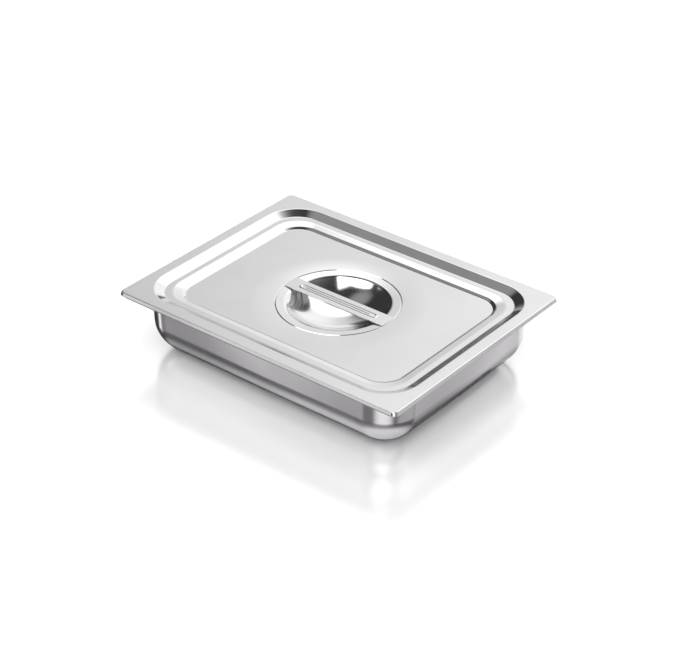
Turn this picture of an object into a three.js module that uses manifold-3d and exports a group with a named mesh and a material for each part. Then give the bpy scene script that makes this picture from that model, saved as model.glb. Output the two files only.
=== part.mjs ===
import * as THREE from 'three';
import { mergeVertices } from 'three/addons/utils/BufferGeometryUtils.js';
import Module from 'manifold-3d';

// A lidded deli food pan in millimetres, +Z up. The origin is the centre of the flat base that it stands on.
// +X runs along the long sides. Every sheet is described by its section: how far in from the rim's outline
// each bend lies (inset), its height, and the radius of the bend.

// Driving dimensions

const RIM_LENGTH = 325;
const RIM_WIDTH = 248.3;
const PAN_HEIGHT = 65;
const SHEET = 0.8;
const SEATING_GAP = 0.3;
const TIGHTEST_BEND = 0.1;

const PAN_EDGE_DROP = 4.9;
const PAN_EDGE_BEND = 1.5;
const PAN_WALL_TOP_INSET = 11.6;
const PAN_WALL_FOOT_INSET = 13.2;
const PAN_MOUTH_BEND = 3;
const PAN_BOTTOM_BEND = 34;

const LID_SKIRT_DROP = 3.4;
const LID_SKIRT_FLARE = 1.4;
const LID_SKIRT_TOP_INSET = -0.5;
const LID_EDGE_BEND = 1.2;
const LID_WALL_TOP_INSET = 11.2;
const LID_WALL_FOOT_INSET = 20.4;
const LID_WALL_BEND = 3;
const LID_CHANNEL_DEPTH = 4.4;
const LID_STEP_TOP_INSET = 31.4;
const LID_STEP_FOOT_INSET = 36.6;
const LID_STEP_BEND = 4;
const LID_PANEL_DEPTH = 7.5;

const SEAT_RADIUS = 60.2;
const SEAT_DEPTH = 1;
const SEAT_STEP_RUN = 0.6;
const SEAT_BEND = 0.4;
const PANEL_RUN_UP = 1.2;
const BOWL_RADIUS = 50;
const BOWL_DEPTH = 19;
const BOWL_LIP_BEND = 6;
const BOWL_RING_SHARES = [0.76, 0.58, 0.4, 0.2];

const STRAP_WIDTH = 18.4;
const STRAP_END_CLEARANCE = 0.4;
const RIB_LENGTH = 92;
const RIB_WIDTH = 7;
const RIB_CREST_WIDTH = 1.6;
const RIB_HEIGHT = 1.3;
const RIB_HOLLOW_WIDTH = 5.2;
const RIB_CORE_SHARE = 0.02;

const OUTLINE_STEPS = 10;
const BEND_STEP = THREE.MathUtils.degToRad(20);
const WIDE_BEND = 20;
const WIDE_BEND_STEP = THREE.MathUtils.degToRad(10);
const RIB_BEVEL_STEPS = 4;
const RIB_END_STEPS = 6;
const STRAP_END_STEPS = 6;

// Corner radii of the outline, from the rim inwards: [inset, radius]

const PAN_CORNERS = [
  [0, 7],
  [2, 5],
  [8, 36],
  [12, 33],
  [48, 4],
];
const LID_CORNERS = [
  [-2, 9],
  [2, 5],
  [9, 40],
  [21, 28],
  [31, 26],
  [38, 21],
];

const LID_TOP = PAN_HEIGHT + SEATING_GAP + SHEET;
const PANEL_TOP = LID_TOP - LID_PANEL_DEPTH;
const SEAT_TOP = PANEL_TOP - SEAT_DEPTH;

const FINISHES = {
  pan: { color: 0xb9b7ba, roughness: 0.16 },
  lid: { color: 0xd4d4d6, roughness: 0.18 },
  strap: { color: 0xdcdcde, roughness: 0.2 },
};

const wasm = await Module();
wasm.setup();

function steelMaterial(name, finish) {
  return new THREE.MeshStandardMaterial({ name, ...finish, metalness: 1 });
}

// Sections

// Rounds each point of a section that has a bend radius into short straight runs.
function bendSection(points) {
  const section = [];
  points.forEach((point, index) => {
    const isEnd = index === 0 || index === points.length - 1;
    if (isEnd || !point.bend) {
      section.push(new THREE.Vector2(point.x, point.y));
      return;
    }
    section.push(...bendPoints(points[index - 1], point, points[index + 1]));
  });
  return section;
}

function bendPoints(before, corner, after) {
  const center = new THREE.Vector2(corner.x, corner.y);
  const back = new THREE.Vector2(before.x, before.y).sub(center).normalize();
  const ahead = new THREE.Vector2(after.x, after.y).sub(center).normalize();
  const opening = Math.acos(THREE.MathUtils.clamp(back.dot(ahead), -1, 1));
  const turn = Math.PI - opening;
  const axis = back.clone().add(ahead).normalize();
  const arcCenter = center.clone().addScaledVector(axis, corner.bend / Math.sin(opening / 2));
  const start = center.clone().addScaledVector(back, corner.bend / Math.tan(opening / 2));
  const side = Math.sign(back.cross(ahead));
  const stepAngle = corner.bend > WIDE_BEND ? WIDE_BEND_STEP : BEND_STEP;
  const steps = Math.max(1, Math.ceil(turn / stepAngle));
  const points = [];
  for (let step = 0; step <= steps; step += 1) {
    points.push(start.clone().rotateAround(arcCenter, (-side * turn * step) / steps));
  }
  return points;
}

// Moves a section sideways by the sheet's thickness, away from the face that looks up.
function undersideOf(points, thickness) {
  return points.map((point, index) => {
    const before = points[Math.max(index - 1, 0)];
    const after = points[Math.min(index + 1, points.length - 1)];
    const arriving = unitRun(before, point) ?? unitRun(point, after);
    const leaving = unitRun(point, after) ?? arriving;
    const normal = new THREE.Vector2(arriving.y + leaving.y, -arriving.x - leaving.x).normalize();
    const reach = thickness / normal.dot(new THREE.Vector2(leaving.y, -leaving.x));
    const turnsUp = Math.sign(arriving.cross(leaving));
    return {
      x: point.x + normal.x * reach,
      y: point.y + normal.y * reach,
      bend: point.bend ? Math.max(point.bend + turnsUp * thickness, TIGHTEST_BEND) : 0,
    };
  });
}

function unitRun(from, to) {
  const run = new THREE.Vector2(to.x - from.x, to.y - from.y);
  return run.length() > 0 ? run.normalize() : null;
}

// Outlines

function interpolate(table, inset) {
  const last = table.length - 1;
  if (inset <= table[0][0]) {
    return table[0][1] + table[0][0] - inset;
  }
  if (inset >= table[last][0]) {
    return table[last][1];
  }
  const index = table.findIndex((row) => row[0] > inset);
  const [fromInset, fromRadius] = table[index - 1];
  const [toInset, toRadius] = table[index];
  return THREE.MathUtils.mapLinear(inset, fromInset, toInset, fromRadius, toRadius);
}

// One rounded rectangle, counter-clockwise from above, with the same number of points at every height.
function rectangleRing(inset, height, cornerTable) {
  const radius = interpolate(cornerTable, inset);
  const centerX = RIM_LENGTH / 2 - inset - radius;
  const centerY = RIM_WIDTH / 2 - inset - radius;
  const ring = [];
  for (let corner = 0; corner < 4; corner += 1) {
    const signX = corner === 0 || corner === 3 ? 1 : -1;
    const signY = corner < 2 ? 1 : -1;
    for (let step = 0; step < OUTLINE_STEPS; step += 1) {
      const angle = (corner + step / (OUTLINE_STEPS - 1)) * (Math.PI / 2);
      ring.push(new THREE.Vector3(
        signX * centerX + radius * Math.cos(angle),
        signY * centerY + radius * Math.sin(angle),
        height,
      ));
    }
  }
  return ring;
}

function circleRing(radius, height) {
  const count = 4 * OUTLINE_STEPS;
  const ring = [];
  for (let step = 0; step < count; step += 1) {
    const angle = ((step + 0.5) / count) * Math.PI * 2;
    ring.push(new THREE.Vector3(radius * Math.cos(angle), radius * Math.sin(angle), height));
  }
  return ring;
}

// A closed sheet: rings of the upper face from the edge inwards, then rings of the lower face outwards,
// with one point at the middle of each face.
function sheetGeometry(upper, lower, upperMiddle, lowerMiddle) {
  const rings = [...upper, ...lower];
  const count = rings[0].length;
  const positions = [...rings.flat(), upperMiddle, lowerMiddle].flatMap((point) => point.toArray());
  const indices = [];
  const quad = (from, to, step) => {
    const next = (step + 1) % count;
    const [a, b] = [from * count + step, from * count + next];
    const [c, d] = [to * count + next, to * count + step];
    indices.push(a, b, c, a, c, d);
  };
  const upperPole = rings.length * count;
  for (let step = 0; step < count; step += 1) {
    const next = (step + 1) % count;
    rings.forEach((ring, index) => {
      if (index !== upper.length - 1) {
        quad(index, (index + 1) % rings.length, step);
      }
    });
    indices.push((upper.length - 1) * count + step, (upper.length - 1) * count + next, upperPole);
    indices.push(upperPole + 1, upper.length * count + next, upper.length * count + step);
  }
  const geometry = new THREE.BufferGeometry();
  geometry.setAttribute('position', new THREE.Float32BufferAttribute(positions, 3));
  geometry.setIndex(indices);
  geometry.computeVertexNormals();
  return geometry;
}

// Manifold solids

function toSolid(geometry) {
  const bare = geometry.clone();
  bare.deleteAttribute('normal');
  bare.deleteAttribute('uv');
  const merged = mergeVertices(bare);
  return new wasm.Manifold(new wasm.Mesh({
    numProp: 3,
    vertProperties: new Float32Array(merged.attributes.position.array),
    triVerts: new Uint32Array(merged.index.array),
  }));
}

function toGeometry(solid) {
  const mesh = solid.getMesh();
  const geometry = new THREE.BufferGeometry();
  geometry.setAttribute('position', new THREE.Float32BufferAttribute(mesh.vertProperties, 3));
  geometry.setIndex([...mesh.triVerts]);
  geometry.computeVertexNormals();
  return geometry;
}

// Pan: one deep-drawn sheet, from the turned-down edge over the rim and down to the floor.

function panSection() {
  return [
    { x: 0, y: PAN_HEIGHT - PAN_EDGE_DROP },
    { x: 0, y: PAN_HEIGHT, bend: PAN_EDGE_BEND },
    { x: PAN_WALL_TOP_INSET, y: PAN_HEIGHT, bend: PAN_MOUTH_BEND },
    { x: PAN_WALL_FOOT_INSET, y: SHEET, bend: PAN_BOTTOM_BEND },
    { x: RIM_WIDTH / 2, y: SHEET },
  ];
}

function makePan() {
  const section = panSection();
  const ring = (point) => rectangleRing(point.x, point.y, PAN_CORNERS);
  const inside = bendSection(section).slice(0, -1).map(ring);
  const outside = bendSection(undersideOf(section, SHEET)).slice(0, -1).map(ring).reverse();
  const geometry = sheetGeometry(
    inside,
    outside,
    new THREE.Vector3(0, 0, SHEET),
    new THREE.Vector3(0, 0, 0),
  );
  const pan = new THREE.Mesh(geometry, steelMaterial('pan_steel', FINISHES.pan));
  pan.name = 'pan';
  return pan;
}

// Lid: one pressed sheet, rectangular from the skirt to the centre panel and round from the seat inwards.

function lidOuterSection() {
  const skirtFoot = LID_SKIRT_TOP_INSET - LID_SKIRT_FLARE;
  const channelTop = LID_TOP - LID_CHANNEL_DEPTH;
  return [
    { x: skirtFoot, y: LID_TOP - LID_SKIRT_DROP },
    { x: LID_SKIRT_TOP_INSET, y: LID_TOP, bend: LID_EDGE_BEND },
    { x: LID_WALL_TOP_INSET, y: LID_TOP, bend: LID_WALL_BEND },
    { x: LID_WALL_FOOT_INSET, y: channelTop, bend: LID_WALL_BEND },
    { x: LID_STEP_TOP_INSET, y: channelTop, bend: LID_STEP_BEND },
    { x: LID_STEP_FOOT_INSET, y: PANEL_TOP, bend: LID_STEP_BEND },
    { x: RIM_WIDTH / 2, y: PANEL_TOP },
  ];
}

// The round part's section, with x counted inwards from the seat's edge.
function lidRoundSection() {
  const sphere = bowlSphereRadius();
  const lipTilt = Math.asin(BOWL_RADIUS / sphere);
  const section = [
    { x: -PANEL_RUN_UP, y: PANEL_TOP },
    { x: 0, y: PANEL_TOP, bend: SEAT_BEND },
    { x: SEAT_STEP_RUN, y: SEAT_TOP, bend: SEAT_BEND },
    { x: SEAT_RADIUS - BOWL_RADIUS, y: SEAT_TOP, bend: BOWL_LIP_BEND },
  ];
  BOWL_RING_SHARES.forEach((share) => {
    const tilt = lipTilt * share;
    const radius = sphere * Math.sin(tilt);
    const depth = sphere * (Math.cos(tilt) - Math.cos(lipTilt));
    section.push({ x: SEAT_RADIUS - radius, y: SEAT_TOP - depth });
  });
  section.push({ x: SEAT_RADIUS, y: SEAT_TOP - BOWL_DEPTH });
  return section;
}

function bowlSphereRadius() {
  return (BOWL_RADIUS ** 2 + BOWL_DEPTH ** 2) / (2 * BOWL_DEPTH);
}

function lidRings(outerSection, roundSection) {
  const outer = bendSection(outerSection).slice(0, -1);
  const round = bendSection(roundSection).slice(1, -1);
  return [
    ...outer.map((point) => rectangleRing(point.x, point.y, LID_CORNERS)),
    ...round.map((point) => circleRing(SEAT_RADIUS - point.x, point.y)),
  ];
}

function makeLid() {
  const outer = lidOuterSection();
  const round = lidRoundSection();
  const upper = lidRings(outer, round);
  const lower = lidRings(undersideOf(outer, SHEET), undersideOf(round, SHEET)).reverse();
  const bowlFloor = SEAT_TOP - BOWL_DEPTH;
  const geometry = sheetGeometry(
    upper,
    lower,
    new THREE.Vector3(0, 0, bowlFloor),
    new THREE.Vector3(0, 0, bowlFloor - SHEET),
  );
  const lid = new THREE.Mesh(geometry, steelMaterial('lid_steel', FINISHES.lid));
  lid.name = 'lid';
  return lid;
}

// Handle strap: a flat bar across the bowl, its ends cut to the round seat, with one pressed rib along it.

function strapOutline() {
  const radius = SEAT_RADIUS - SEAT_STEP_RUN - STRAP_END_CLEARANCE;
  const half = Math.asin(STRAP_WIDTH / 2 / radius);
  const outline = new THREE.Shape();
  outline.absarc(0, 0, radius, -half, half, false);
  outline.absarc(0, 0, radius, Math.PI - half, Math.PI + half, false);
  outline.closePath();
  return outline;
}

// A long bar with round ends and round shoulders, centred on the given height.
function ribBar(width, height, crestWidth, length) {
  const endRadius = crestWidth / 2;
  const shoulder = (width - crestWidth) / 2;
  const reach = length / 2 - shoulder - endRadius;
  const outline = new THREE.Shape();
  outline.absarc(reach, 0, endRadius, -Math.PI / 2, Math.PI / 2, false);
  outline.absarc(-reach, 0, endRadius, Math.PI / 2, (3 * Math.PI) / 2, false);
  outline.closePath();
  const core = height * RIB_CORE_SHARE;
  const bar = new THREE.ExtrudeGeometry(outline, {
    depth: 2 * core,
    bevelThickness: height - core,
    bevelSize: shoulder,
    bevelSegments: RIB_BEVEL_STEPS,
    curveSegments: RIB_END_STEPS,
  });
  return bar.translate(0, 0, -core);
}

function makeStrap() {
  const flat = new THREE.ExtrudeGeometry(strapOutline(), {
    depth: SEAT_DEPTH,
    bevelEnabled: false,
    curveSegments: STRAP_END_STEPS,
  });
  const rib = ribBar(RIB_WIDTH, RIB_HEIGHT, RIB_CREST_WIDTH, RIB_LENGTH).translate(0, 0, SEAT_DEPTH);
  const shrink = RIB_WIDTH - RIB_HOLLOW_WIDTH;
  const hollow = ribBar(RIB_HOLLOW_WIDTH, RIB_HEIGHT, RIB_CREST_WIDTH / 2, RIB_LENGTH - shrink);
  const solid = toSolid(flat).add(toSolid(rib)).subtract(toSolid(hollow));
  const strap = new THREE.Mesh(toGeometry(solid), steelMaterial('strap_steel', FINISHES.strap));
  strap.name = 'handle_strap';
  strap.position.z = SEAT_TOP;
  return strap;
}

const foodPan = new THREE.Group();
foodPan.name = 'deli_food_pan';
foodPan.add(makePan(), makeLid(), makeStrap());

export default foodPan;
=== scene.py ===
import math
import bpy
import bmesh
from mathutils import Matrix, Vector


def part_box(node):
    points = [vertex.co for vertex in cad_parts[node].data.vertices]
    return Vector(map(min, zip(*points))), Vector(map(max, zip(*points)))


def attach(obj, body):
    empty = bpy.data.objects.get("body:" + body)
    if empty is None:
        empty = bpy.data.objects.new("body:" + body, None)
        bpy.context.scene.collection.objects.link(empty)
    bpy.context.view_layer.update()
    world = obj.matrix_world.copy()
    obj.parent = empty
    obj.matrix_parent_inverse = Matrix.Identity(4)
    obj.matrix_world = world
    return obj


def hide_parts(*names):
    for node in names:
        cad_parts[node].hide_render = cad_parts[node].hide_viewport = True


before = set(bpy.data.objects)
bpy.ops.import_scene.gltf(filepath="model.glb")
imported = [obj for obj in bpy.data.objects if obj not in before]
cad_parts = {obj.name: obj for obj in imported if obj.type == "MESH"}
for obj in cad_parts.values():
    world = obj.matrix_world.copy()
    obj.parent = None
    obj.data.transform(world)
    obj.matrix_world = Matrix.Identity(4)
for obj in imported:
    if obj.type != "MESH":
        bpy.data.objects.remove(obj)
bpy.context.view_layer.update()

# ---------------------------------------------------------------------------------------------------------
# The pan: a half-size food pan, deep drawn from one 0.8 mm sheet of stainless steel. The press leaves a flat
# rim with its edge turned down, a tight mouth and a wide bend round the floor. The sheet's skin stays bright.
# ---------------------------------------------------------------------------------------------------------

MM = 0.001
SHEET = 0.8 * MM
CUT_EDGE = 0.25 * MM
SUPPORT = 0.35 * MM    # how far from a bend its support points lie
TIGHTEST_BEND = 0.1 * MM
BEND_STEP = math.radians(7.5)
MERGE_DISTANCE = 0.001 * MM

pan_low, pan_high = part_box("pan")
RIM_LENGTH = pan_high.x - pan_low.x
RIM_WIDTH = pan_high.y - pan_low.y
PAN_HEIGHT = pan_high.z - pan_low.z
PAN_EDGE_DROP = 4.9 * MM
PAN_EDGE_BEND = 1.5 * MM
PAN_EDGE_TUCK = 0.5 * MM
PAN_WALL_TOP = 11.6 * MM
PAN_WALL_FOOT = 13.2 * MM
PAN_MOUTH_BEND = 3.0 * MM
PAN_BOTTOM_BEND = 34.0 * MM
PAN_WALL_BOW = 1.6 * MM
PAN_CORNERS = [(0, 7), (2, 5), (8, 36), (12, 33), (48, 4)]    # (inset, corner radius) in millimetres


def unit(start, end):
    return (end - start).normalized()


def offset_corners(corners, thickness):
    """The same sheet's other face: every corner moved sideways, with its bend made wider or tighter."""
    moved = []
    for index, (inset, height, bend) in enumerate(corners):
        here = Vector((inset, height))
        arriving = unit(Vector(corners[index - 1][:2]), here) if index else None
        leaving = unit(here, Vector(corners[index + 1][:2])) if index + 1 < len(corners) else arriving
        arriving = arriving or leaving
        normal = Vector((arriving.y + leaving.y, -arriving.x - leaving.x)).normalized()
        place = here + normal * thickness / normal.dot(Vector((leaving.y, -leaving.x)))
        turn = arriving.x * leaving.y - arriving.y * leaving.x
        if bend and index:
            bend = max(bend + math.copysign(thickness, turn), TIGHTEST_BEND)
        moved.append((place.x, place.y, bend))
    return moved


def bend_run(corners, index):
    """How far along the straight runs beside a corner its bend reaches."""
    if not 0 < index < len(corners) - 1 or not corners[index][2]:
        return 0
    here = Vector(corners[index][:2])
    opening = unit(here, Vector(corners[index - 1][:2])).angle(unit(here, Vector(corners[index + 1][:2])))
    return corners[index][2] / math.tan(opening / 2)


def support_run(corners, index, neighbour):
    """Where the support point goes between a corner's bend and the next one."""
    run = bend_run(corners, index)
    length = (Vector(corners[neighbour][:2]) - Vector(corners[index][:2])).length
    return run + min(SUPPORT, (length - run - bend_run(corners, neighbour)) / 3)


def round_corners(corners):
    """Points along a section, its bends rounded, with two support points beside each bend."""
    points = [Vector(corners[0][:2])]
    for index in range(1, len(corners) - 1):
        here = Vector(corners[index][:2])
        bend = corners[index][2]
        if not bend:
            points.append(here)
            continue
        back = unit(here, Vector(corners[index - 1][:2]))
        ahead = unit(here, Vector(corners[index + 1][:2]))
        opening = back.angle(ahead)
        turn = math.pi - opening
        run = bend_run(corners, index)
        middle = here + (back + ahead).normalized() * bend / math.sin(opening / 2)
        spoke = here + back * run - middle
        way = -math.copysign(1, back.x * ahead.y - back.y * ahead.x)
        steps = max(3, math.ceil(turn / BEND_STEP))
        points.append(here + back * support_run(corners, index, index - 1))
        turns = [way * turn * step / steps for step in range(steps + 1)]
        points += [middle + Matrix.Rotation(angle, 2) @ spoke for angle in turns]
        points.append(here + ahead * support_run(corners, index, index + 1))
    points.append(Vector(corners[-1][:2]))
    return points


def corner_radius(table, inset):
    """How round the outline is at this inset, in metres."""
    inset = inset / MM
    if inset <= table[0][0]:
        return (table[0][1] + table[0][0] - inset) * MM
    for (inner, small), (outer, large) in zip(table, table[1:]):
        if inset <= outer:
            return (small + (large - small) * (inset - inner) / (outer - inner)) * MM
    return table[-1][1] * MM


def calc(tree, operation, *terms):
    """One step of arithmetic in a node tree, on numbers or sockets."""
    node = tree.nodes.new("ShaderNodeMath")
    node.operation = operation
    for socket, term in zip(node.inputs, terms):
        if isinstance(term, bpy.types.NodeSocket):
            tree.links.new(term, socket)
        else:
            socket.default_value = term
    return node.outputs[0]


def between(tree, start, end, share):
    """start + (end - start) * share"""
    return calc(tree, "MULTIPLY_ADD", calc(tree, "SUBTRACT", end, start), share, start)


def pressing_tree():
    """Geometry Nodes: a section line becomes a pressed sheet, rectangular or round at each of its points."""
    tree = bpy.data.node_groups.new("pressed_sheet", "GeometryNodeTree")
    for name, kind in (
        ("Section", "NodeSocketGeometry"),
        ("Length", "NodeSocketFloat"),
        ("Width", "NodeSocketFloat"),
        ("Corner Steps", "NodeSocketInt"),
        ("Side Steps", "NodeSocketInt"),
        ("Steel", "NodeSocketMaterial"),
    ):
        tree.interface.new_socket(name, in_out="INPUT", socket_type=kind)
    tree.interface.new_socket("Sheet", in_out="OUTPUT", socket_type="NodeSocketGeometry")
    given = tree.nodes.new("NodeGroupInput").outputs
    link = tree.links.new

    section = tree.nodes.new("GeometryNodeAttributeDomainSize")
    link(given["Section"], section.inputs[0])
    corner_steps, side_steps = given["Corner Steps"], given["Side Steps"]
    quarter = calc(tree, "ADD", corner_steps, side_steps)
    around = calc(tree, "MULTIPLY", quarter, 4)
    columns = calc(tree, "ADD", around, 1)
    grid = tree.nodes.new("GeometryNodeMeshGrid")
    link(section.outputs["Point Count"], grid.inputs["Vertices X"])
    link(columns, grid.inputs["Vertices Y"])

    index = tree.nodes.new("GeometryNodeInputIndex").outputs[0]
    row = calc(tree, "FLOOR", calc(tree, "DIVIDE", calc(tree, "ADD", index, 0.5), columns))
    step = calc(tree, "SUBTRACT", index, calc(tree, "MULTIPLY", row, columns))

    def sampled(name, kind):
        """The section's own value at this row: its place, or one of its attributes."""
        if name == "position":
            source = tree.nodes.new("GeometryNodeInputPosition").outputs[0]
        else:
            field = tree.nodes.new("GeometryNodeInputNamedAttribute")
            field.inputs["Name"].default_value = name
            source = field.outputs[0]
        sample = tree.nodes.new("GeometryNodeSampleIndex")
        sample.data_type = kind
        link(given["Section"], sample.inputs["Geometry"])
        link(source, sample.inputs["Value"])
        link(row, sample.inputs["Index"])
        return sample.outputs[0]

    place = tree.nodes.new("ShaderNodeSeparateXYZ")
    link(sampled("position", "FLOAT_VECTOR"), place.inputs[0])
    inset, height = place.outputs[0], place.outputs[2]
    radius = sampled("corner_radius", "FLOAT")
    roundness = sampled("roundness", "FLOAT")
    bow = sampled("bow", "FLOAT")

    corner = calc(tree, "FLOOR", calc(tree, "DIVIDE", calc(tree, "ADD", step, 0.5), quarter))
    local = calc(tree, "SUBTRACT", step, calc(tree, "MULTIPLY", corner, quarter))
    share = calc(tree, "MINIMUM", calc(tree, "DIVIDE", local, corner_steps), 1)
    turn = calc(tree, "MULTIPLY", calc(tree, "ADD", corner, share), math.pi / 2)
    past_corner = calc(tree, "MAXIMUM", calc(tree, "SUBTRACT", local, corner_steps), 0)
    half_turn = calc(tree, "MULTIPLY", calc(tree, "DIVIDE", past_corner, side_steps), math.pi)
    eased = calc(tree, "MULTIPLY_ADD", calc(tree, "COSINE", half_turn), -0.5, 0.5)
    even = calc(tree, "ADD", step, calc(tree, "MULTIPLY", corner_steps, -0.5))
    polar = calc(tree, "MULTIPLY_ADD", calc(tree, "DIVIDE", even, around), 2 * math.pi, math.pi / 4)

    def across(size, function):
        """One coordinate of the outline: rounded rectangle or circle, by the roundness of this row."""
        here = calc(tree, "MULTIPLY", calc(tree, "ADD", corner, 0.5), math.pi / 2)
        after = calc(tree, "MULTIPLY", calc(tree, "ADD", corner, 1.5), math.pi / 2)
        side = between(tree, calc(tree, "SIGN", calc(tree, function, here)),
                       calc(tree, "SIGN", calc(tree, function, after)), eased)
        reach = calc(tree, "SUBTRACT", calc(tree, "MULTIPLY", size, 0.5), calc(tree, "ADD", inset, radius))
        swell = calc(tree, "SINE", calc(tree, "MULTIPLY", eased, math.pi))
        swell = calc(tree, "MULTIPLY", calc(tree, "MULTIPLY", swell, swell), bow)
        arc = calc(tree, "MULTIPLY", calc(tree, "ADD", radius, swell), calc(tree, function, turn))
        rectangle = calc(tree, "MULTIPLY_ADD", side, reach, arc)
        circle = calc(tree, "MULTIPLY", inset, calc(tree, function, polar))
        return between(tree, rectangle, circle, roundness)

    joined = tree.nodes.new("ShaderNodeCombineXYZ")
    link(across(given["Length"], "COSINE"), joined.inputs[0])
    link(across(given["Width"], "SINE"), joined.inputs[1])
    link(height, joined.inputs[2])
    placed = tree.nodes.new("GeometryNodeSetPosition")
    link(grid.outputs["Mesh"], placed.inputs["Geometry"])
    link(joined.outputs[0], placed.inputs["Position"])
    closed = tree.nodes.new("GeometryNodeMergeByDistance")
    closed.inputs["Distance"].default_value = MERGE_DISTANCE
    smooth = tree.nodes.new("GeometryNodeSetShadeSmooth")
    real = tree.nodes.new("GeometryNodeRealizeInstances")
    finish = tree.nodes.new("GeometryNodeSetMaterial")
    link(given["Steel"], finish.inputs["Material"])
    chain = [placed, closed, smooth, real, finish]
    for node, after in zip(chain, chain[1:]):
        link(node.outputs[0], after.inputs[0])
    link(finish.outputs[0], tree.nodes.new("NodeGroupOutput").inputs[0])
    return tree


def press(name, rows, steel, corner_steps=16, side_steps=24):
    """Presses rows of (inset or radius, height, corner radius, roundness, bow) into one closed mesh."""
    line = bpy.data.meshes.new(name + "_section")
    line.from_pydata([(row[0], 0, row[1]) for row in rows], [(i, i + 1) for i in range(len(rows) - 1)], [])
    for column, attribute in enumerate(("corner_radius", "roundness", "bow"), start=2):
        layer = line.attributes.new(attribute, "FLOAT", "POINT")
        layer.data.foreach_set("value", [row[column] for row in rows])
    blank = bpy.data.objects.new(name + "_section", line)
    bpy.context.scene.collection.objects.link(blank)
    tree = bpy.data.node_groups.get("pressed_sheet") or pressing_tree()
    modifier = blank.modifiers.new("pressing", "NODES")
    modifier.node_group = tree
    values = {
        "Length": RIM_LENGTH,
        "Width": RIM_WIDTH,
        "Corner Steps": corner_steps,
        "Side Steps": side_steps,
        "Steel": steel,
    }
    for item in tree.interface.items_tree:
        if item.name in values:
            modifier[item.identifier] = values[item.name]
    pressed = blank.evaluated_get(bpy.context.evaluated_depsgraph_get())
    mesh = bpy.data.meshes.new_from_object(pressed)
    bpy.data.objects.remove(blank)
    mesh.name = name
    shape = bmesh.new()
    shape.from_mesh(mesh)
    if shape.calc_volume(signed=True) < 0:
        bmesh.ops.reverse_faces(shape, faces=shape.faces)
    shape.to_mesh(mesh)
    shape.free()
    piece = bpy.data.objects.new(name, mesh)
    bpy.context.scene.collection.objects.link(piece)
    return piece


HAZE_SCALE = 14.0
WIPE_SCALE = 60.0
HAZE_FROM = 0.3
HAZE_TO = 0.9
GRAIN_SHARE = 0.6
WIPE_SHARE = 0.25


def steel_surface_group():
    """Shared finish of rolled stainless sheet: fine drag lines along the grain, haze and small wipe marks."""
    tree = bpy.data.node_groups.new("rolled_steel_skin", "ShaderNodeTree")
    for name, kind in (
        ("Bright", "NodeSocketColor"),
        ("Dull", "NodeSocketColor"),
        ("Smooth", "NodeSocketFloat"),
        ("Hazy", "NodeSocketFloat"),
        ("Grain Direction", "NodeSocketVector"),
    ):
        tree.interface.new_socket(name, in_out="INPUT", socket_type=kind)
    for name, kind in (
        ("Color", "NodeSocketColor"),
        ("Roughness", "NodeSocketFloat"),
        ("Height", "NodeSocketFloat"),
    ):
        tree.interface.new_socket(name, in_out="OUTPUT", socket_type=kind)
    given = tree.nodes.new("NodeGroupInput").outputs
    done = tree.nodes.new("NodeGroupOutput").inputs
    link = tree.links.new
    place = tree.nodes.new("ShaderNodeTexCoord").outputs["Object"]

    def noise(vector, scale, detail, roughness):
        node = tree.nodes.new("ShaderNodeTexNoise")
        link(vector, node.inputs["Vector"])
        node.inputs["Scale"].default_value = scale
        node.inputs["Detail"].default_value = detail
        node.inputs["Roughness"].default_value = roughness
        return node.outputs["Fac"]

    stretched = tree.nodes.new("ShaderNodeVectorMath")
    stretched.operation = "MULTIPLY"
    link(place, stretched.inputs[0])
    link(given["Grain Direction"], stretched.inputs[1])
    grain = noise(stretched.outputs[0], scale=1.0, detail=3.0, roughness=0.6)
    haze = noise(place, HAZE_SCALE, detail=4.0, roughness=0.55)
    wipes = noise(place, WIPE_SCALE, detail=3.0, roughness=0.5)

    haze_mask = tree.nodes.new("ShaderNodeMapRange")
    haze_mask.interpolation_type = "SMOOTHSTEP"
    haze_mask.inputs["From Min"].default_value = HAZE_FROM
    haze_mask.inputs["From Max"].default_value = HAZE_TO
    link(haze, haze_mask.inputs["Value"])
    mixed = calc(tree, "MULTIPLY_ADD", calc(tree, "SUBTRACT", grain, 0.5), GRAIN_SHARE, haze_mask.outputs[0])
    mixed = calc(tree, "MULTIPLY_ADD", calc(tree, "SUBTRACT", wipes, 0.5), WIPE_SHARE, mixed)
    mixed = calc(tree, "MINIMUM", calc(tree, "MAXIMUM", mixed, 0.0), 1.0)
    link(between(tree, given["Smooth"], given["Hazy"], mixed), done["Roughness"])
    tint = tree.nodes.new("ShaderNodeMix")
    tint.data_type = "RGBA"
    link(mixed, tint.inputs["Factor"])
    link(given["Bright"], tint.inputs[6])
    link(given["Dull"], tint.inputs[7])
    link(tint.outputs[2], done["Color"])
    link(grain, done["Height"])
    return tree


WAVE_SCALE = 22.0


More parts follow.
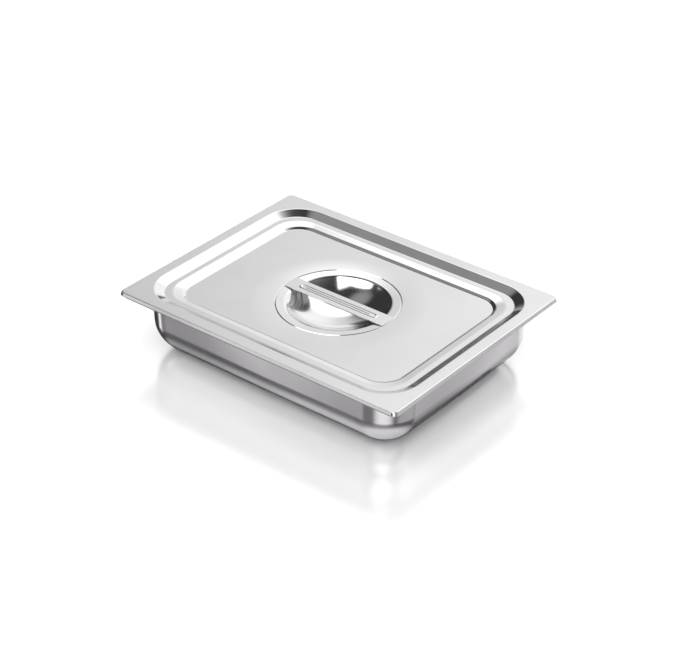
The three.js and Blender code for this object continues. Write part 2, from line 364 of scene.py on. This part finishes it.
def steel(name, bright, dull, smooth, hazy, grain, bump, waves):
    """One bright stainless finish. Grain is how fine the drag lines are along X, Y and Z, per metre."""
    material = bpy.data.materials.new(name)
    material.use_nodes = True
    tree = material.node_tree
    skin = tree.nodes.new("ShaderNodeGroup")
    skin.node_tree = bpy.data.node_groups.get("rolled_steel_skin") or steel_surface_group()
    skin.inputs["Bright"].default_value = (*bright, 1)
    skin.inputs["Dull"].default_value = (*dull, 1)
    skin.inputs["Smooth"].default_value = smooth
    skin.inputs["Hazy"].default_value = hazy
    skin.inputs["Grain Direction"].default_value = grain
    shader = tree.nodes["Principled BSDF"]
    shader.inputs["Metallic"].default_value = 1.0
    link = tree.links.new
    link(skin.outputs["Color"], shader.inputs["Base Color"])
    link(skin.outputs["Roughness"], shader.inputs["Roughness"])
    place = tree.nodes.new("ShaderNodeTexCoord").outputs["Object"]
    swell = tree.nodes.new("ShaderNodeTexNoise")
    link(place, swell.inputs["Vector"])
    swell.inputs["Scale"].default_value = WAVE_SCALE
    swell.inputs["Detail"].default_value = 1.0
    wave = tree.nodes.new("ShaderNodeBump")
    wave.inputs["Distance"].default_value = waves
    link(swell.outputs["Fac"], wave.inputs["Height"])
    lines = tree.nodes.new("ShaderNodeBump")
    lines.inputs["Distance"].default_value = bump
    link(skin.outputs["Height"], lines.inputs["Height"])
    link(wave.outputs["Normal"], lines.inputs["Normal"])
    link(lines.outputs["Normal"], shader.inputs["Normal"])
    return material


pan_steel = steel(
    "pan_steel",
    bright=(0.60, 0.583, 0.60),
    dull=(0.53, 0.513, 0.532),
    smooth=0.13,
    hazy=0.21,
    grain=(35, 35, 2600),
    bump=0.0012 * MM,
    waves=0.02 * MM,
)


def wall_bow(point):
    """How far a side's middle springs outwards at this height: most halfway up the wall, none at the rim."""
    if point.x < PAN_WALL_TOP - PAN_MOUTH_BEND:
        return 0
    return PAN_WALL_BOW * math.sin(math.pi * point.y / PAN_HEIGHT)


pan_inner = [
    (PAN_EDGE_TUCK, PAN_HEIGHT - PAN_EDGE_DROP, CUT_EDGE),
    (0, PAN_HEIGHT, PAN_EDGE_BEND),
    (PAN_WALL_TOP, PAN_HEIGHT, PAN_MOUTH_BEND),
    (PAN_WALL_FOOT, SHEET, PAN_BOTTOM_BEND),
    (RIM_WIDTH / 2, SHEET, 0),
]
pan_corners = [*reversed(pan_inner), *offset_corners(pan_inner, SHEET)]
pan_points = [Vector((p.x, max(p.y, 0))) for p in round_corners(pan_corners)[1:-1]]
pan_rows = [(p.x, p.y, corner_radius(PAN_CORNERS, p.x), 0, wall_bow(p)) for p in pan_points]
pan = press("pan_shell", [(0, SHEET, 0, 1, 0), *pan_rows, (0, 0, 0, 1, 0)], pan_steel)
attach(pan, "pan")
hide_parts("pan")

# ---------------------------------------------------------------------------------------------------------
# The lid: one pressed sheet of 0.8 mm stainless, dropped over the rim with a flared skirt. Inside its flat
# edge it steps down to a channel, then to a sunk centre panel with a round seat and a finger bowl.
# ---------------------------------------------------------------------------------------------------------

lid_low, lid_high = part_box("lid")
LID_TOP = lid_high.z
LID_SKIRT_DROP = 3.4 * MM
LID_SKIRT_FLARE = 1.4 * MM
LID_SKIRT_TOP = -0.5 * MM
LID_EDGE_BEND = 1.2 * MM
LID_WALL_TOP = 11.2 * MM
LID_WALL_FOOT = 20.4 * MM
LID_WALL_BEND = 3.0 * MM
LID_CHANNEL_DEPTH = 4.4 * MM
LID_SHOULDER = 26.6 * MM
LID_SHOULDER_DROP = 1.55 * MM
LID_SHOULDER_BEND = 8.0 * MM
LID_STEP_TOP = 33.9 * MM
LID_STEP_FOOT = 36.6 * MM
LID_STEP_TOP_BEND = 5.0 * MM
LID_STEP_FOOT_BEND = 1.2 * MM
LID_PANEL_DEPTH = 7.5 * MM
LID_CORNERS = [(-2, 6), (2, 3.5), (9, 40), (21, 28), (31, 26), (38, 21)]    # as PAN_CORNERS
SEAT_RADIUS = 60.2 * MM
SEAT_DEPTH = 1.0 * MM
SEAT_STEP_RUN = 0.7 * MM
SEAT_BEND = 0.3 * MM
SEAT_DISH = 0.7 * MM
PANEL_DISH = 0.95 * MM
PANEL_DISH_RUN = 24.0 * MM
PANEL_DISH_STEPS = 8
SEAM_DEPTH = 0.5 * MM
SEAM_BEND = 0.15 * MM
BOWL_RADIUS = 50.0 * MM
BOWL_LIP_BEND = 6.0 * MM
BOWL_STEPS = 16

PANEL_TOP = LID_TOP - LID_PANEL_DEPTH
SEAT_TOP = PANEL_TOP - SEAT_DEPTH
BOWL_DEPTH = SEAT_TOP - SHEET - lid_low.z

lid_steel = steel(
    "lid_steel",
    bright=(0.67, 0.67, 0.672),
    dull=(0.62, 0.62, 0.624),
    smooth=0.09,
    hazy=0.15,
    grain=(30, 2400, 2400),
    bump=0.001 * MM,
    waves=0.02 * MM,
)


def lid_rectangle():
    """The lid's upper face from its cut edge in to the centre panel."""
    channel = LID_TOP - LID_CHANNEL_DEPTH
    return [
        (LID_SKIRT_TOP - LID_SKIRT_FLARE, LID_TOP - LID_SKIRT_DROP, CUT_EDGE),
        (LID_SKIRT_TOP, LID_TOP, LID_EDGE_BEND),
        (LID_WALL_TOP, LID_TOP, LID_WALL_BEND),
        (LID_WALL_FOOT, channel, LID_WALL_BEND),
        (LID_SHOULDER, channel, LID_SHOULDER_BEND),
        (LID_STEP_TOP, channel - LID_SHOULDER_DROP, LID_STEP_TOP_BEND),
        (LID_STEP_FOOT, PANEL_TOP, LID_STEP_FOOT_BEND),
        (RIM_WIDTH / 2, PANEL_TOP, 0),
    ]


def lid_round():
    """The lid's upper face from the centre panel in to the bowl, counted inwards from the seat's edge."""
    depth = BOWL_DEPTH - SEAT_DISH
    sphere = (BOWL_RADIUS ** 2 + depth ** 2) / (2 * depth)
    lip = math.asin(BOWL_RADIUS / sphere)
    corners = []
    for step in range(PANEL_DISH_STEPS):
        share = 1 - step / PANEL_DISH_STEPS
        corners.append((-share * PANEL_DISH_RUN, PANEL_TOP - PANEL_DISH * (1 - share) ** 1.5, 0))
    corners += [
        (0, PANEL_TOP - PANEL_DISH, SEAT_BEND),
        (SEAT_STEP_RUN, SEAT_TOP - SEAM_DEPTH, SEAM_BEND),
        (2 * SEAT_STEP_RUN, SEAT_TOP, SEAT_BEND),
        (SEAT_RADIUS - BOWL_RADIUS, SEAT_TOP - SEAT_DISH, BOWL_LIP_BEND),
    ]
    for step in range(1, BOWL_STEPS + 1):
        tilt = lip * (1 - step / BOWL_STEPS)
        drop = sphere * (math.cos(tilt) - math.cos(lip))
        corners.append((SEAT_RADIUS - sphere * math.sin(tilt), SEAT_TOP - SEAT_DISH - drop, 0))
    return corners


def round_rows(corners):
    """Rows of circles, from the panel inwards, the last one shrunk to the pole."""
    *points, pole = round_corners(corners)
    return [(SEAT_RADIUS - p.x, p.y, 0, 1, 0) for p in points] + [(0, pole.y, 0, 1, 0)]


lid_upper, bowl_upper = lid_rectangle(), lid_round()
lid_corners = [*reversed(lid_upper), *offset_corners(lid_upper, SHEET)]
lid_rows = [(p.x, p.y, corner_radius(LID_CORNERS, p.x), 0, 0) for p in round_corners(lid_corners)[1:-1]]
bowl_lower = offset_corners(bowl_upper, SHEET)
lid = press(
    "lid_sheet",
    [*reversed(round_rows(bowl_upper)), *lid_rows, *round_rows(bowl_lower)],
    lid_steel,
    side_steps=32,
)
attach(lid, "lid")
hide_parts("lid")

# ---------------------------------------------------------------------------------------------------------
# The handle strap: a flat stainless bar across the bowl, spot-welded to the seat at its two ends. Fingers
# hook under it. A racetrack bead and one straight bead are pressed up along its middle to stiffen it.
# ---------------------------------------------------------------------------------------------------------

strap_low, strap_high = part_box("handle_strap")
STRAP_WIDTH = strap_high.y - strap_low.y
STRAP_REACH = strap_high.x
STRAP_SHEET = 1.0 * MM
BEAD_HEIGHT = 0.48 * MM
BEAD_HALF_WIDTH = 1.3 * MM
BEAD_SPACING = 3.0 * MM
LOOP_STRAIGHT = 42.0 * MM
BEAD_STRAIGHT = 38.0 * MM
EDGE_SEGMENTS = 3
EDGE_ANGLE = 60
STRAP_COLUMNS = 260
STRAP_ROWS = 52


def bead_height(x, y):
    """How far the pressed beads rise at a point of the strap."""
    def rise(distance):
        share = min(distance / BEAD_HALF_WIDTH, 1)
        return BEAD_HEIGHT * (1 + math.cos(math.pi * share)) / 2

    loop = abs(math.hypot(max(abs(x) - LOOP_STRAIGHT, 0), y) - BEAD_SPACING)
    middle = math.hypot(max(abs(x) - BEAD_STRAIGHT, 0), y)
    return max(rise(loop), rise(middle))


def make_strap(steel_finish):
    """The bar as a closed mesh: an upper face, a lower face pressed up with it, and its cut edges."""
    shape = bmesh.new()
    faces = []
    for lift in (STRAP_SHEET, 0):
        grid = []
        for row in range(STRAP_ROWS + 1):
            y = STRAP_WIDTH * (row / STRAP_ROWS - 0.5)
            reach = math.sqrt(STRAP_REACH ** 2 - y ** 2)
            line = []
            for column in range(STRAP_COLUMNS + 1):
                x = reach * (2 * column / STRAP_COLUMNS - 1)
                line.append(shape.verts.new((x, y, SEAT_TOP + lift + bead_height(x, y))))
            grid.append(line)
        faces.append(grid)
    upper, lower = faces
    for row in range(STRAP_ROWS):
        for column in range(STRAP_COLUMNS):
            for grid in faces:
                near, far = grid[row], grid[row + 1]
                quad = [near[column], near[column + 1], far[column + 1], far[column]]
                shape.faces.new(quad if grid is upper else quad[::-1])
    border = [(0, column) for column in range(STRAP_COLUMNS)]
    border += [(row, STRAP_COLUMNS) for row in range(STRAP_ROWS)]
    border += [(STRAP_ROWS, column) for column in range(STRAP_COLUMNS, 0, -1)]
    border += [(row, 0) for row in range(STRAP_ROWS, 0, -1)]
    for (row, column), (next_row, next_column) in zip(border, border[1:] + border[:1]):
        shape.faces.new([
            upper[next_row][next_column],
            upper[row][column],
            lower[row][column],
            lower[next_row][next_column],
        ])
    for face in shape.faces:
        face.smooth = True
    mesh = bpy.data.meshes.new("strap_bar")
    shape.to_mesh(mesh)
    shape.free()
    mesh.materials.append(steel_finish)
    piece = bpy.data.objects.new("strap_bar", mesh)
    bpy.context.scene.collection.objects.link(piece)
    edge = piece.modifiers.new("edge", "BEVEL")
    edge.width = CUT_EDGE
    edge.segments = EDGE_SEGMENTS
    edge.limit_method = "ANGLE"
    edge.angle_limit = math.radians(EDGE_ANGLE)
    return piece


strap = make_strap(steel(
    "strap_steel",
    bright=(0.68, 0.68, 0.685),
    dull=(0.60, 0.60, 0.605),
    smooth=0.12,
    hazy=0.20,
    grain=(40, 2600, 2600),
    bump=0.001 * MM,
    waves=0.01 * MM,
))
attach(strap, "lid")
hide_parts("handle_strap")

# ---------------------------------------------------------------------------------------------------------
# The studio: a glossy white acrylic table in a dim room with large soft light panels. The dark gaps between
# the panels give the bright steel something dark to mirror. A ceiling light brightens the table. In the
# steel's reflections the table carries a painted shade.
# ---------------------------------------------------------------------------------------------------------

TABLE_SIZE = 6.0
TABLE_GAP = 0.02 * MM
TABLE_WHITE = (0.86, 0.86, 0.865, 1)
TABLE_GLOSS = (0.95, 0.95, 0.95, 1)
TABLE_ROUGHNESS = 0.2
TABLE_GLOSS_SHARE = 0.45
# Painted shade: colours the table shows only in the steel's reflections, light where seen steeply, dark at a
# slant.
MIRRORED_STEEP_PAINTED_LIGHT = (0.8, 0.8, 0.805, 1)
MIRRORED_SLANTING_PAINTED_SHADE = (0.05, 0.05, 0.052, 1)
MIRRORED_ROUGHNESS = 0.12
PAINTED_SHADE_RISE = (0.1, 0.29)
GLOSS_RISE = (0.2, 0.5)
CEILING_SIZE = 4.5
CEILING_POWER = 95.0
CEILING_PLACE = (0.7, -0.9, 1.8)
CEILING_TILT = (30, 0, 38)
ROOM_DARKNESS = 0.05


def soft_edge(tree, value, start, end):
    """0 before start, 1 past end, and a smooth rise between them."""
    node = tree.nodes.new("ShaderNodeMapRange")
    node.interpolation_type = "SMOOTHSTEP"
    tree.links.new(value, node.inputs["Value"])
    node.inputs["From Min"].default_value = start
    node.inputs["From Max"].default_value = end
    return node.outputs[0]


def acrylic_side(nodes, link, matt_color, roughness, gloss_share):
    """Matt acrylic under gloss. The colour and the share of gloss may be fixed or come from a socket."""
    matt = nodes.new("ShaderNodeBsdfDiffuse")
    gloss = nodes.new("ShaderNodeBsdfGlossy")
    blend = nodes.new("ShaderNodeMixShader")
    gloss.inputs["Color"].default_value = TABLE_GLOSS
    gloss.inputs["Roughness"].default_value = roughness
    for value, socket in ((matt_color, matt.inputs["Color"]), (gloss_share, blend.inputs["Fac"])):
        if isinstance(value, bpy.types.NodeSocket):
            link(value, socket)
        else:
            socket.default_value = value
    link(matt.outputs[0], blend.inputs[1])
    link(gloss.outputs[0], blend.inputs[2])
    return blend.outputs[0]


def make_table():
    """The table top. Mirrored in the steel it is painted darker, a painted shade: dark where it is seen at a
    slant, lighter where it is seen steeply. It is also glossier where it is seen at a slant.
    """
    mesh = bpy.data.meshes.new("table")
    half = TABLE_SIZE / 2
    corners = [(-half, -half), (half, -half), (half, half), (-half, half)]
    mesh.from_pydata([(x, y, -TABLE_GAP) for x, y in corners], [], [(0, 1, 2, 3)])
    table = bpy.data.objects.new("table", mesh)
    bpy.context.scene.collection.objects.link(table)
    acrylic = bpy.data.materials.new("white_acrylic")
    acrylic.use_nodes = True
    nodes, link = acrylic.node_tree.nodes, acrylic.node_tree.links.new
    nodes.remove(nodes["Principled BSDF"])
    grazing = nodes.new("ShaderNodeLayerWeight")
    grazing.inputs["Blend"].default_value = 0.5
    gloss_share = soft_edge(acrylic.node_tree, grazing.outputs["Facing"], *GLOSS_RISE)
    # Painted shade: the table's colour in the steel's reflections, blended from light to dark as the view
    # slants.
    mirrored_painted_shade = nodes.new("ShaderNodeMix")
    mirrored_painted_shade.data_type = "RGBA"
    slant = soft_edge(acrylic.node_tree, grazing.outputs["Facing"], *PAINTED_SHADE_RISE)
    link(slant, mirrored_painted_shade.inputs["Factor"])
    mirrored_painted_shade.inputs[6].default_value = MIRRORED_STEEP_PAINTED_LIGHT
    mirrored_painted_shade.inputs[7].default_value = MIRRORED_SLANTING_PAINTED_SHADE
    seen = acrylic_side(nodes, link, TABLE_WHITE, TABLE_ROUGHNESS, TABLE_GLOSS_SHARE)
    mirrored = acrylic_side(nodes, link, mirrored_painted_shade.outputs[2], MIRRORED_ROUGHNESS, gloss_share)
    choice = nodes.new("ShaderNodeMixShader")
    link(nodes.new("ShaderNodeLightPath").outputs["Is Glossy Ray"], choice.inputs["Fac"])
    link(seen, choice.inputs[1])
    link(mirrored, choice.inputs[2])
    link(choice.outputs[0], nodes["Material Output"].inputs["Surface"])
    mesh.materials.append(acrylic)


def compass(azimuth, elevation):
    """A direction by its angle round from +X and its height above the table, in degrees."""
    a, e = math.radians(azimuth), math.radians(elevation)
    return Vector((math.cos(a) * math.cos(e), math.sin(a) * math.cos(e), math.sin(e)))


def facing(tree, way, direction):
    """How far a ray's direction leans towards the given one."""
    node = tree.nodes.new("ShaderNodeVectorMath")
    node.operation = "DOT_PRODUCT"
    tree.links.new(way, node.inputs[0])
    node.inputs[1].default_value = direction
    return node.outputs["Value"]


def light_panel(brightness, right, left, bottom, top=None):
    """
    A light panel: its brightness, then each edge and how soft that edge is. The right and left edges are
    compass angles in degrees. The bottom and top are heights, from 0 at the table's level to 1 overhead.
    """
    edges = [(compass(right[0] + 90, 0), 0, right[1]), (compass(left[0] - 90, 0), 0, left[1])]
    edges.append(((0, 0, 1), *bottom))
    if top:
        edges.append(((0, 0, -1), -top[0], top[1]))
    return brightness, edges


def make_room(base, panels, glows):
    """The room round the table: flat light panels and round glows, all with soft edges, on an even base."""
    world = bpy.data.worlds.new("studio")
    world.use_nodes = True
    bpy.context.scene.world = world
    tree = world.node_tree
    way = tree.nodes.new("ShaderNodeTexCoord").outputs["Generated"]
    level = base
    for brightness, edges in panels:
        mask = 1.0
        for direction, edge, soft in edges:
            side = soft_edge(tree, facing(tree, way, direction), edge - soft, edge + soft)
            mask = calc(tree, "MULTIPLY", mask, side)
        level = between(tree, level, brightness, mask)
    for azimuth, elevation, inner, outer, brightness in glows:
        lean = facing(tree, way, compass(azimuth, elevation))
        mask = soft_edge(tree, lean, math.cos(math.radians(outer)), math.cos(math.radians(inner)))
        level = between(tree, level, brightness, mask)
    seen = tree.nodes.new("ShaderNodeLightPath").outputs["Is Camera Ray"]
    link = tree.links.new
    sky = tree.nodes["Background"]
    link(between(tree, level, 1.0, seen), sky.inputs["Strength"])
    sky.inputs["Color"].default_value = (1.0, 1.0, 1.0, 1)


def make_ceiling_light():
    """A wide soft light above the table, kept out of the steel's reflections."""
    lamp = bpy.data.lights.new("ceiling_light", "AREA")
    lamp.shape = "SQUARE"
    lamp.size = CEILING_SIZE
    lamp.energy = CEILING_POWER
    light = bpy.data.objects.new("ceiling_light", lamp)
    light.location = CEILING_PLACE
    light.rotation_euler = [math.radians(angle) for angle in CEILING_TILT]
    light.visible_glossy = False
    bpy.context.scene.collection.objects.link(light)


# Each row: brightness, right edge, left edge, bottom, top, every edge with its softness.
BACK_AND_SIDES = [
    light_panel(0.85, (51, 0.1), (142, 0.13), (0.13, 0.03), (0.90, 0.1)),    # behind, even
    light_panel(1.35, (60, 0.1), (127, 0.2), (0.14, 0.04), (0.90, 0.1)),    # behind, brighter to the right
    light_panel(1.8, (70, 0.08), (144, 0.06), (0.6, 0.06), (0.86, 0.06)),    # behind, high up
    light_panel(0.30, (-34, 0.2), (40, 0.2), (0.13, 0.1), (0.91, 0.1)),    # right, dim
    light_panel(0.95, (-12, 0.1), (50, 0.2), (0.2, 0.1), (0.64, 0.06)),    # right, low
    light_panel(0.9, (10, 0.1), (80, 0.1), (-0.02, 0.03), (0.1, 0.04)),    # right, along the table
]
FRONT_AND_LEFT = [
    light_panel(0.34, (205, 0.1), (285, 0.1), (0.2, 0.1), (0.66, 0.1)),    # front, dim
    light_panel(1.45, (228, 0.1), (233, 0.1), (0.2, 0.1), (0.66, 0.1)),    # front, a bright upright strip
    light_panel(2.0, (193, 0.05), (205, 0.05), (0.15, 0.1), (0.62, 0.05)),    # left, a bright upright strip
    light_panel(1.1, (222, 0.1), (258, 0.1), (0.04, 0.03), (0.12, 0.03)),    # front, along the table
]
ROOF_EDGE = ((0, 0, 1), 0.73, 0.03)
FRONT_ROOF = (
    3.0,
    [(compass(270, 0), 0.22, 0.02), (compass(0, 0), -0.6, 0.04), (compass(223, 0), 0, 0.03), ROOF_EDGE],
)
RIGHT_ROOF = light_panel(3.0, (236, 0.06), (313, 0.03), ROOF_EDGE[1:])
# Each row: compass angle, height angle, full within, gone beyond, all in degrees, then brightness.
GLOWS = [
    (302, 32, 0, 31, 2.1),
    (174, 57, 0, 17, 0.38),
]

make_table()
make_ceiling_light()
make_room(ROOM_DARKNESS, [*BACK_AND_SIDES, *FRONT_AND_LEFT, FRONT_ROOF, RIGHT_ROOF], GLOWS)

# The camera stands before the pan's front right corner, looking down at it from about 1.9 m away.
CAMERA_PLACE = (0.99865, -1.23612, 1.01445)
CAMERA_AZIMUTH = 38.894
CAMERA_ELEVATION = 31.989
LENS = 104.72
SENSOR_WIDTH = 36.0

camera_data = bpy.data.cameras.new("camera")
camera_data.lens = LENS
camera_data.sensor_width = SENSOR_WIDTH
camera = bpy.data.objects.new("camera", camera_data)
camera.location = CAMERA_PLACE
camera.rotation_euler = (math.radians(90 - CAMERA_ELEVATION), 0, math.radians(CAMERA_AZIMUTH))
bpy.context.scene.collection.objects.link(camera)
bpy.context.scene.camera = camera
bpy.context.scene.view_settings.view_transform = "Standard"
